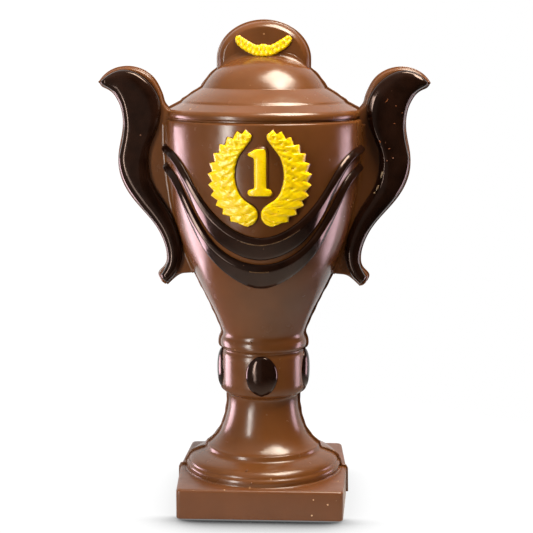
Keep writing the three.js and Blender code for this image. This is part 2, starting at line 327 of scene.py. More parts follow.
def make_piece(name: str, shells: Array, finish: Chocolate, *replaces: str) -> None:
    """Makes a piece of closed shells from rings of points: neighbouring points and rings are
    joined by quads, each ring closes on itself, and a shell's first and last ring are capped.
    Where the volume that the quads enclose comes out negative, they are all turned over.

    Args:
        name: the piece's name.
        shells: array (shells, rings, points in a ring, 3) in millimetres.
        finish: what it is made of.
        replaces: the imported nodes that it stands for.
    """
    count, rings, around = shells.shape[:3]
    index = np.arange(count * rings * around).reshape(count, rings, around)
    low, high = index[:, :-1], index[:, 1:]
    quads = np.stack([low, np.roll(low, -1, 2), np.roll(high, -1, 2), high], -1).reshape(-1, 4)
    caps = np.concatenate([index[:, 0, ::-1], index[:, -1]])
    points = shells.reshape(-1, 3) * MM
    a, b, c, d = (points[quads[:, i]] for i in range(4))
    volume = (np.cross(a, b) * c).sum() + (np.cross(a, c) * d).sum()
    if volume < 0:
        quads, caps = quads[:, ::-1], caps[:, ::-1]
    mesh = bpy.data.meshes.new(name)
    mesh.from_pydata(points.tolist(), [], quads.tolist() + caps.tolist())
    mesh.polygons.foreach_set("use_smooth", np.ones(len(mesh.polygons), bool))
    mesh.materials.append(finish.material())
    mesh.update()
    piece = bpy.data.objects.new(name, mesh)
    bpy.context.scene.collection.objects.link(piece)
    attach(piece, BODY)
    if replaces:
        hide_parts(*replaces)
    log.info("%-28s %6d quads in %d shells", name, len(quads), count)


def turned(points: Array, quarter_turns: int) -> Array:
    """Points turned about the vertical axis by 0 to 3 quarter turns."""
    c, s = ((1, 0), (0, 1), (-1, 0), (0, -1))[quarter_turns]
    return points @ np.array([(c, s, 0), (-s, c, 0), (0, 0, 1)])


def with_mirror(shells: Array, signs: tuple[int, int, int]) -> Array:
    """Shells and their mirror images, whose rings run the other way round to face outwards."""
    return np.concatenate([shells, (shells * signs)[:, :, ::-1]])


def make_on_faces(*pieces: tuple[str, Array, Chocolate, str]) -> None:
    """Makes pieces on the front and, turned half round, the same on the back.

    Args:
        pieces: for each, its name, its rings on the front, its finish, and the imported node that
            it stands for or "". The face's name is added to the name and to the node.
    """
    for face in Face:
        for name, rings, finish, node in pieces:
            replaced = [f"{node}_{face.name.lower()}"] if node else []
            make_piece(f"{name}_{face.name.lower()}", turned(rings, face.value)[None], finish,
                       *replaced)


# ---------------------------------------------------------------- the turned figure


@dataclass
class TurnedFigure:
    """Everything that is round: foot, flare, stem, collar, ring, cup and lid. One profile of
    (radius, height) is carried round the axis, with a slight unevenness from the casting."""

    foot: Points = (
        (33.8, 12.2, 0.0), (32.7, 12.6, 0.4), (32.7, 14.9, 1.8), (31.8, 15.9, 0.25),
        (31.5, 16.8, 0.6), (30.6, 17.9, 1.1), (29.4, 18.7, 1.8), (26.8, 19.8, 1.8),
        (24.3, 20.5, 1.1), (23.5, 22.8, 0.6))
    flare: Points = (
        (22.9, 23.1), (21.4, 24.4), (18.6, 27.8), (16.9, 31.6), (15.5, 36.3), (14.8, 41.5),
        (14.85, 44.3))
    collar: Points = (
        (15.2, 45.0, 0.35), (17.0, 46.1, 1.0), (17.6, 48.8, 1.4), (17.6, 62.0, 1.3),
        (16.6, 64.2, 0.8), (18.1, 65.3, 0.9), (18.25, 67.8, 1.4), (17.0, 70.3, 1.3))
    cup_wall: Points = (
        (17.45, 72.2), (19.8, 78.3), (23.5, 86.0), (28.6, 96.5), (33.0, 107.0), (36.6, 119.5),
        (39.2, 135.0), (40.4, 150.0), (40.35, 158.7))
    lid: Points = (
        (40.2, 159.6, 0.45), (39.0, 160.0, 0.25), (38.9, 160.7, 0.25), (39.6, 161.0, 0.3),
        (39.7, 162.6, 0.8), (38.7, 163.9, 0.6), (33.7, 166.5, 0.5), (33.1, 167.4, 0.6),
        (29.2, 170.2, 2.4), (25.2, 172.5, 0.6))
    dome: Points = (
        (25.0, 172.9), (23.5, 175.2), (20.7, 178.6), (15.9, 182.1), (8.8, 184.6), (0.2, 185.3))
    sides: int = 264
    # Waves of the unevenness: how many round the figure, over what height they turn by a radian,
    # their phase and their share.
    waves: tuple[tuple[float, ...], ...] = ((3, 9.0, 0.0, 1.0), (7, -5.0, 1.3, 0.7))
    waviness: float = 0.035
    wavy_radius: float = 20.0  # the unevenness fades from here to the axis

    def profile(self) -> Array:
        """The rounded corners of foot, collar and lid, and the smooth curves between them.

        Returns:
            Rows of (radius, height) from inside the plinth's top up to the top of the dome.
        """
        flare, wall, dome = (
            np.pad(smooth_curve(points, count), ((0, 0), (0, 1)))
            for points, count in ((self.flare, 26), (self.cup_wall, 60), (self.dome, 34)))
        return rounded(np.concatenate([self.foot, flare, self.collar, wall, self.lid, dome]), 7)

    def radius(self, height: Array) -> Array:
        """Radius of the cup wall at a height, from the same spline as the profile."""
        wall = smooth_curve(self.cup_wall, count=240)
        return np.interp(height, wall[:, 1], wall[:, 0])

    def on_cup(self, across: Array, depth: Array, height: Array) -> Array:
        """Lays face coordinates on the cup's front, depth further from the axis than its wall."""
        out = self.radius(height) + depth
        return np.stack([across, -np.sqrt(np.maximum(out**2 - across**2, 0)), height], -1)

    def build(self) -> None:
        """Makes the turned piece. Its unevenness is the sum of two sets of sine waves round the
        figure, which lean opposite ways as they climb."""
        radius, height = np.hsplit(self.profile(), 2)
        turn = np.linspace(0, 2 * math.pi, self.sides, endpoint=False)[None]
        wave = sum(share * np.sin(count * turn + height / climb + phase)
                   for count, climb, phase, share in self.waves)
        radius = radius + self.waviness * wave * np.clip(radius / self.wavy_radius, 0, 1)
        rings = np.stack([radius * np.cos(turn), radius * np.sin(turn), height + 0 * turn], -1)
        make_piece("turned_figure", rings[None], MILK, "body")


@dataclass
class RollingFillet:
    """Hollow fillet between a turned surface and the front of a flat plate that stands in the
    seam plane, right of x = 0: the surface that a ball touches when it rolls along the corner."""

    profile: Array  # rows of (radius, height) of the turned surface, along the corner
    plane: float  # how far the plate's face stands in front of the seam plane
    ball: float
    reach: float = 99.0  # how far out the plate goes
    taper: float = 6.0  # over this length before the reach, the ball shrinks
    smallest: float = 0.08  # to this share of its radius
    clear: float = 0.05  # keeps the ball's centre off x = 0
    buried: float = 0.6
    arc_points: int = 11

    def shells(self) -> Array:
        """The ball's centre is one ball radius outside both surfaces. From it, one direction
        points to the turned surface and one to the plate; the arc's points lie one ball radius
        away in the directions between them, and three more points bury its back in both.

        Returns:
            Shells (1, rings, points, 3).
        """
        normal = normals(self.profile)
        corner_x = np.sqrt(np.maximum(self.profile[:, 0] ** 2 - self.plane**2, 0))
        ball = self.ball * np.clip((self.reach - corner_x) / self.taper, self.smallest, 1)
        front = self.plane + ball
        centre = self.profile + ball[:, None] * normal
        x = np.sqrt(np.maximum(centre[:, 0] ** 2 - front**2, 0))
        keep = (centre[:, 0] > front + self.clear) & (x < self.reach)
        ball, front, centre, normal, x = (a[keep] for a in (ball, front, centre, normal, x))
        middle = np.stack([x, -front, centre[:, 1]], -1)
        lean = normal[:, 0] / centre[:, 0]
        to_round = -np.stack([lean * x, -lean * front, normal[:, 1]], -1)
        to_plate = np.broadcast_to([0.0, 1.0, 0.0], to_round.shape)
        t = np.linspace(0, 1, self.arc_points)[None, :, None]
        between = unit((1 - t) * to_round[:, None] + t * to_plate[:, None])
        arc = middle[:, None] + ball[:, None, None] * between
        first, last = arc[:, 0], arc[:, -1]
        back = [last + self.buried * to_plate,
                (first + last) / 2 + self.buried * (to_round + to_plate),
                first + self.buried * to_round]
        return np.concatenate([arc, np.stack(back, 1)], 1)[None]


# ---------------------------------------------------------------- plinth


@dataclass
class Plinth:
    """Square foot slab. Its sides run out towards the seam, as the mould's draft needs."""

    half_width: float = 33.75
    half_width_at_seam: float = 35.45
    half_depth: float = 35.35
    height: float = 12.4
    corner: float = 1.9
    seam_corner: float = 0.6
    top_edge: float = 1.2
    bottom_edge: float = 0.5
    # Insets of the rings on the flat top and underside, from the one that closes the middle.
    flat_insets: tuple[float, ...] = (33.25, 20.0, 3.0)

    def outline(self) -> Array:
        """The right half's corners and their mirror images, rounded; the sides between stay
        straight.

        Returns:
            Closed outline (n, 2), from the middle of the front to the right.
        """
        w, s, d, c = self.half_width, self.half_width_at_seam, self.half_depth, self.corner
        right = [(0, -d, 0), (w, -d, c), (s, 0, self.seam_corner), (w, d, c), (0, d, 0)]
        return rounded(right + [(-x, y, r) for x, y, r in right[3::-1]], 10)[:-1]

    def build(self) -> None:
        """The outline is carried up a profile of (inset, height): flat underside, small lower
        edge, upright side, rounder top edge and flat top, closed at its middle."""
        edge = np.linspace(0, math.pi / 2, 7)
        low, top = self.bottom_edge, self.top_edge
        flat = np.array(self.flat_insets)
        profile = np.concatenate([
            np.stack([flat, 0 * flat], -1),
            low * np.stack([1 - np.sin(edge), 1 - np.cos(edge)], -1),
            [(0, self.height / 2)],
            np.stack([top * (1 - np.cos(edge)), self.height - top * (1 - np.sin(edge))], -1),
            np.stack([flat[::-1], self.height + 0 * flat], -1)])
        shrink = 1 - profile[:, :1] / self.half_width
        x, y = (self.outline()[None, :, i] * shrink for i in (0, 1))
        rings = np.stack([x, y, profile[:, 1:] + 0 * x], -1)
        make_piece("plinth", rings[None], MILK_BASE, "body")


# ---------------------------------------------------------------- plates and panels


# The rim of a plate, as (distance in, depth): a thin seam stands out of the rounded edge.
SEAM_RIM = ((0.0, 0.16), (0.05, 0.3), (0.14, 0.38), (0.3, 0.43), (0.48, 0.47), (0.62, 0.54),
            (0.7, 0.64), (0.76, 0.78), (0.82, 0.98))


def two_faced(positions: Array, depths: Array) -> Array:
    """A plate in the seam plane: its section on the front, then the same mirrored on the back."""
    front = np.stack([positions[..., 0], -depths + 0 * positions[..., 0], positions[..., 1]], -1)
    return np.concatenate([front, front[:, ::-1] * (1, -1, 1)], 1)[None]


@dataclass(frozen=True)
class Strip:
    """A flat shape between two paired edge curves, from tip to tip, in face coordinates."""

    inner: Points
    outer: Points
    rows: int = 320
    most_of_width: float = 0.48  # the share of a narrow strip that an edge section may take

    def section(self, side: Side, edge: Array, flat: int) -> tuple[Array, Array]:
        """Carries one edge section along both curves and joins them across the flat between.

        Args:
            side: right, or left, which is the mirror image.
            edge: rows of (distance in from the edge, depth), from the edge inwards.
            flat: points across the flat middle.

        Returns:
            Positions (rows, points, 2) and depths (points,), from the inner to the outer edge.
        """
        inner, outer = (smooth_curve(points, self.rows) * (side.value, 1)
                        for points in (self.inner, self.outer))
        width = np.linalg.norm(outer - inner, axis=1)[:, None]
        across = (outer - inner) / width
        distance, depth = edge[:, 0], edge[:, 1]
        narrow = np.minimum(1, self.most_of_width * width / distance.max())
        step = across[:, None] * (distance[None] * narrow)[..., None]
        from_inner, from_outer = inner[:, None] + step, outer[:, None] - step
        middle = across_band(from_inner[:, -1], from_outer[:, -1],
                             np.linspace(0, 1, flat + 2)[1:-1])
        positions = np.concatenate([from_inner, middle, from_outer[:, ::-1]], 1)
        return positions, np.concatenate([depth, np.full(flat, depth[-1]), depth[::-1]])


@dataclass
class Handle:
    """One side handle: a milk chocolate plate in the seam plane that runs into the cup, and a
    dark chocolate panel in relief on each of its faces."""

    side: Side
    figure: TurnedFigure
    half_thickness: float = 3.0
    edge_radius: float = 1.0
    panel_depth: float = 6.4
    panel_edge: float = 3.6
    # Over its first and last rows a panel is lower, at the very tips by these shares.
    start_rows: int = 8
    start_drop: float = 0.35
    end_rows: int = 5
    end_drop: float = 0.3
    fillet: float = 1.6
    fillet_heights: tuple[float, float] = (96.2, 158.5)
    plate: Strip = Strip(
        inner=((67.75, 175.1), (66.6, 176.6), (62.6, 179.7), (56.0, 181.2), (50.0, 180.0),
               (45.2, 176.6), (42.4, 172.0), (41.2, 168.8), (40.5, 166.5), (39.2, 164.8),
               (37.2, 162.6), (36.0, 158.0), (36.0, 148.0),
               (35.0, 138.0), (33.0, 127.0), (30.0, 116.0), (27.0, 106.0), (25.5, 99.0),
               (29.4, 95.7), (34.4, 95.0), (37.6, 92.9), (40.2, 90.4)),
        outer=((67.75, 174.2), (66.9, 172.9), (64.5, 171.6), (62.2, 169.9), (60.4, 167.2),
               (59.2, 164.4), (58.7, 162.4), (58.4, 160.4), (58.3, 158.0), (58.5, 155.0),
               (59.2, 151.0), (60.0, 147.0), (60.4, 143.0),
               (60.2, 139.0), (56.8, 129.8), (50.7, 122.0), (45.2, 115.3), (41.8, 108.6),
               (40.6, 102.6), (41.6, 98.6), (44.2, 95.2), (43.4, 92.9)))
    panel: Strip = Strip(
        inner=((66.5, 175.2), (63.4, 177.7), (58.2, 179.8), (52.4, 178.8), (47.4, 175.5),
               (43.8, 170.8), (42.0, 165.0), (42.1, 160.8), (44.0, 154.4), (46.3, 149.0),
               (47.2, 145.2), (47.3, 141.0), (46.9, 137.0), (43.6, 129.4), (39.2, 122.4),
               (35.2, 113.2), (33.7, 105.0), (34.5, 99.5), (36.6, 95.4), (40.1, 91.8)),
        outer=((66.4, 173.9), (64.1, 172.4), (61.6, 170.6), (59.5, 167.4), (58.5, 165.0),
               (57.8, 161.3), (57.5, 157.5), (57.8, 153.0), (58.6, 149.0), (59.4, 145.5),
               (59.8, 142.5), (59.4, 139.0), (58.2, 134.8), (53.2, 126.3), (47.4, 119.4),
               (42.6, 112.4), (40.3, 106.0), (39.9, 101.5), (41.1, 97.9), (42.9, 95.0)))

    def build(self) -> None:
        """Plate, the fillet between plate and cup on both faces, and the two panels."""
        word = self.side.name.lower()
        make_piece(f"handle_plate_{word}", self._plate_shells(), MILK, "body")
        make_piece(f"handle_fillet_{word}", self._fillet_shells(), MILK, "body")
        make_on_faces((f"dark_panel_{word}", self._panel_rings(), DARK, f"handle_panel_{word}"))

    def _plate_shells(self) -> Array:
        """The plate's edge is the seam rim and then a quarter circle, whose first part the rim
        covers, up to the flat face.

        Returns:
            Shells (1, rings, points, 3).
        """
        turn = np.linspace(0.15, 1, 6) * math.pi / 2
        bend = np.stack([SEAM_RIM[-1][0] + self.edge_radius * (1 - np.cos(turn)),
                         self.half_thickness - self.edge_radius * (1 - np.sin(turn))], -1)
        edge = np.concatenate([SEAM_RIM, bend])
        return two_faced(*self.plate.section(self.side, edge, flat=5))

    def _fillet_shells(self) -> Array:
        """Hollow corner where the plate meets the cup wall, on the front and on the back.

        Returns:
            Shells (2, rings, points, 3).
        """
        low, high = self.fillet_heights
        wall = smooth_curve(self.figure.cup_wall, count=120)
        wall = wall[(wall[:, 1] > low) & (wall[:, 1] < high)]
        corner = RollingFillet(wall, self.half_thickness, self.fillet).shells()
        return with_mirror(corner * (self.side.value, 1, 1), (1, -1, 1))

    def _panel_rings(self) -> Array:
        """A steep wall rises from inside the plate, leans over in a sloping shoulder and runs
        out into a flat face. Near the tips the relief is lower, by a share that falls off with
        the square root of the way from the tip.

        Returns:
            Rings (rows, points, 3) on the front.
        """
        base, top = self.half_thickness - BURIED, self.panel_depth
        edge = rounded((
            (0.0, base, 0), (0.35, top - 1.9, 0.5), (1.0, top - 1.0, 0.3), (2.7, top - 0.28, 0.5),
            (self.panel_edge, top - 0.1, 0.6), (self.panel_edge + 1.4, top, 0)), 6)
        positions, depths = self.panel.section(self.side, edge, flat=9)
        row = np.arange(len(positions))[:, None]
        rise = 1.0
        for rows, drop, from_tip in ((self.start_rows, self.start_drop, row),
                                     (self.end_rows, self.end_drop, row[::-1])):
            rise = rise - drop * (1 - np.sqrt(np.minimum(1, from_tip / rows)))
        depth = base + (depths[None] - base) * rise
        return np.stack([positions[..., 0], -depth, positions[..., 1]], -1)


@dataclass
class LidTab:
    """Half-round tab on top of the lid, a plate in the seam plane with a sloping band round a
    flat field, and the fillet where the dome runs into its faces."""

    figure: TurnedFigure
    half_width: float = 19.3
    arch: float = 16.0
    arch_centre: float = 184.0
    root: float = 175.5
    root_share: float = 0.6  # of the outline's width, for the line inside the dome
    half_thickness: float = 5.0
    fillet: float = 2.8
    fillet_foot: float = 176.5
    fillet_inset: float = 0.5  # of the fillet's outer end, from the side of the tab
    arch_rows: int = 114
    side_rows: int = 8
    field_points: int = 6

    def build(self) -> None:
        """The tab, and the hollow corner between dome and tab: both halves of both faces."""
        make_piece("lid_tab", self._tab_shells(), MILK, "body")
        dome = smooth_curve(self.figure.dome, count=160)
        dome = dome[dome[:, 1] > self.fillet_foot]
        corner = RollingFillet(dome, self.half_thickness, self.fillet,
                               self.half_width - self.fillet_inset).shells()
        four = with_mirror(with_mirror(corner, (-1, 1, 1)), (1, -1, 1))
        make_piece("tab_fillets", four, MILK, "body")

    def _tab_shells(self) -> Array:
        """The rim section is carried up one side, round the arch and down the other side by the
        outline's normals, and then runs flat to a line inside the dome.

        Returns:
            Shells (1, rings, points, 3).
        """
        turn = np.linspace(math.pi, 0, self.arch_rows)
        arch = np.stack([self.half_width * np.cos(turn),
                         self.arch_centre + self.arch * np.sin(turn)], -1)
        height = np.linspace(self.root, self.arch_centre, self.side_rows + 1)[:-1]
        left = np.stack([np.full_like(height, -self.half_width), height], -1)
        outline = np.concatenate([left, arch, (left * (-1, 1))[::-1]])
        top = self.half_thickness
        band = rounded(((0.82, 0.98, 0), (0.85, 2.3, 0.8), (1.7, top - 1.15, 0.8),
                        (3.0, top - 0.12, 0.35), (4.2, top, 0)), 5)
        rim = np.concatenate([SEAM_RIM, band[1:]])
        band_points = outline[:, None] + normals(outline)[:, None] * rim[None, :, :1]
        root_line = np.stack([outline[:, 0] * self.root_share,
                              np.full(len(outline), self.root)], -1)
        flat = across_band(band_points[:, -1], root_line,
                           np.linspace(0, 1, self.field_points + 1)[1:])
        depths = np.concatenate([rim[:, 1], np.full(self.field_points, top)])
        return two_faced(np.concatenate([band_points, flat], 1)[:, ::-1], depths[::-1])


@dataclass
class Seam:
    """The thin seam that stands out of the turned figure and the plinth in the plane y = 0."""

    figure: TurnedFigure
    plinth: Plinth
    proud: float = 0.85
    half_thickness: float = 0.42
    start: float = 1.3
    # Heights between which it runs up the turned figure, below and above handles and cup.
    below: tuple[float, float] = (13.2, 96.5)
    above: tuple[float, float] = (163.6, 183.0)

    def build(self) -> None:
        """Up the plinth's side, round its upper edge and over its top, and up the profile, left
        out where handles and tab have their own."""
        profile = self.figure.profile()
        below, above = (profile[(profile[:, 1] > low) & (profile[:, 1] < high)]
                        for low, high in (self.below, self.above))
        side, top = self.plinth.half_width_at_seam, self.plinth.height
        foot = ((side, self.start), (side, top - 0.9), (side - 0.4, top - 0.1),
                (side - 1.6, top), (33.2, top + 0.25))
        make_piece("seam_lower", self._shells(np.concatenate([foot, below])), MILK, "body")
        make_piece("seam_lid", self._shells(above), MILK, "body")

    def _shells(self, path: Array) -> Array:
        """A round-edged section is carried along the path by its normals; two sines of the
        length walked make the seam's height uneven by a tenth of a millimetre.

        Args:
            path: rows of (x, z) up the right side of the outline.

        Returns:
            Shells (2, rings, points, 3), the right and the left side.
        """
        length = walked(path)
        uneven = 1 + 0.12 * np.sin(length / 2.3) + 0.1 * np.sin(length / 0.9 + 1)
        # Out of the path, and across the seam in half thicknesses: from inside the figure to
        # the top of the seam.
        half = np.array([(-0.8, -1.0), (0.4, -1.0), (0.7, -0.8), (self.proud, -0.4)])
        section = np.concatenate([half, half[::-1] * (1, -1)]) * (1, self.half_thickness)
        out = (section[None, :, 0] * uneven[:, None])[..., None]
        x, z = np.moveaxis(path[:, None] + normals(path)[:, None] * out, -1, 0)
        return with_mirror(np.stack([x, section[None, :, 1] + 0 * x, z], -1)[None], (-1, 1, 1))


# ---------------------------------------------------------------- relief


@dataclass
class Jewels:
    """Four oval dark chocolate jewels round the collar."""

    collar_radius: float = 17.6
    centre: float = 55.3
    half_width: float = 6.55
    half_height: float = 8.3
    relief: float = 1.95
    drip: float = 0.25
    drip_turn: float = 0.1  # radians round the oval, about its foot
    root: float = -0.8  # depth of the back, inside the collar

    def build(self) -> None:
        """Polar grid over an oval with a small drip at its foot: the height follows a rounded
        dome, 1 minus the share of the radius to the power 2.4, all to the power 0.62."""
        around = np.linspace(0, 2 * math.pi, 64, endpoint=False)[None]
        share = np.concatenate([[0.01], np.linspace(0.08, 1, 18) ** 0.8, [1.0, 0.02]])[:, None]
        foot = np.exp(-(((around - 1.5 * math.pi) / self.drip_turn) ** 2))
        across = self.half_width * share * np.cos(around)
        height = self.centre + (self.half_height + self.drip * foot) * share * np.sin(around)
        dome = self.relief * (1 - np.minimum(share, 1) ** 2.4) ** 0.62
        dome[-2:] = self.root
        out = self.collar_radius + dome
        rings = np.stack([across, -np.sqrt(out**2 - across**2), height], -1)
        for quarter, where in enumerate(("front", "right", "back", "left")):
            make_piece(f"collar_jewel_{where}", turned(rings, quarter)[None], DARK,
                       f"jewel_{where}")


@dataclass
class Swags:
    """Two draped swags of dark chocolate on each face of the cup. Their edges are rows of (angle
    from the front in degrees, height), for the right half."""

    figure: TurnedFigure
    upper_top: Points = (
        (0, 115.3), (20, 119.8), (30, 125.3), (40, 133.6), (50, 142.6), (60, 147.4), (70, 149.3),
        (84.5, 150.6))
    upper_bottom: Points = (
        (0, 105.8), (20, 109.3), (30, 113.8), (40, 122.8), (50, 134.8), (60, 142.4), (70, 144.7),
        (84.5, 146.4))
    lower_top: Points = (
        (0, 104.1), (20, 107.0), (30, 111.4), (40, 119.6), (50, 130.4), (60, 138.4), (70, 141.3),
        (84.5, 143.4))
    lower_bottom: Points = (
        (0, 93.6), (20, 97.0), (30, 101.0), (40, 107.6), (50, 120.4), (60, 132.2), (70, 136.6),
        (84.5, 139.2))
    end_angle: float = 80.0
    tip_angle: float = 3.0
    tip_square: float = 0.02  # square of the share of the full section that the tips keep
    fold_width: float = 9.5
    ridge_relief: float = 2.2
    # From this angle on and over this many degrees, the fold turns into a ridge.
    ridge_start: float = 36.0
    ridge_turn: float = 26.0
    # Angles from the front between which the front's crests carry a golden brown line.
    upper_crest_line: tuple[float, float] = (-15.0, 27.0)
    lower_crest_line: tuple[float, float] = (-9.0, 9.0)
    crest_line_fade: float = 3.0
    crest_point: int = 19  # number of the section's point on the fold's crest
    section_points: int = 54
    rows: int = 260

    def build(self) -> None:
        """Both swags on both faces, and the golden crest lines on the front's."""
        for which, top, bottom, dulled in (
                ("upper", self.upper_top, self.upper_bottom, self.upper_crest_line),
                ("lower", self.lower_top, self.lower_bottom, self.lower_crest_line)):
            rings = self._rings(top, bottom)
            make_piece(f"crest_scuff_{which}", self._crest_line_rings(rings, dulled)[None], CREST_LINE)
            make_on_faces((f"draped_swag_{which}", rings, DARK, f"swag_{which}"))

    def _angles(self) -> Array:
        """Angle from the front of every row."""
        return np.linspace(-self.end_angle, self.end_angle, self.rows)

    def _rings(self, top: Points, bottom: Points) -> Array:
        """Sections across the cloth at equal angles. In the middle a section is a fold: an upper
        band that faces the front, a crest, and a wide facet under it that faces down. Towards
        the ends the crest moves to the middle and both facets fall off alike.

        Args:
            top: right half of the upper edge.
            bottom: right half of the lower edge.

        Returns:
            Rings (rows, points, 3) on the front.
        """
        angle = self._angles()
        high, low = (np.interp(np.abs(angle), *symmetric_curve(edge, count=400).T)[:, None]
                     for edge in (top, bottom))
        w = self.fold_width
        fold = self._section((
            (0.0, -BURIED, 0), (0.0, 0.8, 0.35), (0.75, 1.45, 0.3), (2.7, 2.2, 0.35),
            (0.87 * w, 1.25, 0.6), (0.985 * w, 0.75, 0.4), (w, -BURIED, 0)))
        ridge = self._section((
            (0.0, -BURIED, 0), (0.0, 0.4, 0.3), (0.2 * w, 1.45, 0.9),
            (0.46 * w, self.ridge_relief, 0.5), (0.75 * w, 1.5, 0.9), (w, 0.4, 0.3),
            (w, -BURIED, 0)))
        blend = np.clip((np.abs(angle) - self.ridge_start) / self.ridge_turn, 0, 1)[:, None]
        blend = blend * blend * (3 - 2 * blend)
        across, relief = (fold[:, i] * (1 - blend) + ridge[:, i] * blend for i in (0, 1))
        left = np.clip((self.end_angle - np.abs(angle))[:, None] / self.tip_angle, 0, 1)
        tip = np.sqrt(np.clip(1 - (1 - left) ** 2, self.tip_square, 1))
        height = (high + low) / 2 + (0.5 - across / w) * (high - low) * tip
        depth = np.where(relief > 0, relief * (0.4 + 0.6 * tip), relief)
        out = self.figure.radius(height) + depth
        a = np.radians(angle)[:, None]
        return np.stack([out * np.sin(a), -out * np.cos(a), height], -1)

    def _section(self, corners: Points) -> Array:
        """Rounded corners as section_points (across, relief) evenly spaced along the section.

        Args:
            corners: rows of (across, relief, radius).

        Returns:
            Array (section_points, 2).
        """
        line = rounded(corners, 7)
        length = walked(line)
        even = np.linspace(0, length[-1], self.section_points)
        return np.stack([np.interp(even, length, line[:, i]) for i in (0, 1)], -1)

    def _crest_line_rings(self, rings: Array, span: tuple[float, float]) -> Array:
        """A strip three points wide along the crest. It stands out of the swag by a few hundredths
        of a millimetre where two sine waves are high, and is buried between and at its ends.

        Args:
            rings: the swag's rings.
            span: the angles between which the crest carries the golden brown line.

        Returns:
            Rings (rows, 6, 3).
        """
        angle = self._angles()
        dulled = (angle > span[0]) & (angle < span[1])
        angle = angle[dulled, None, None]
        crest = rings[dulled, self.crest_point - 1:self.crest_point + 2]
        outward = unit(crest * (1, 1, 0))
        from_end = np.minimum(angle - span[0], span[1] - angle)
        rise = 0.03 + 0.02 * np.sin(1.7 * angle) + 0.02 * np.sin(4.3 * angle + 1)
        rise = rise - 0.1 * np.clip(1 - from_end / self.crest_line_fade, 0, 1)
        return np.concatenate([crest + outward * rise, (crest - 0.3 * outward)[:, ::-1]], 1)


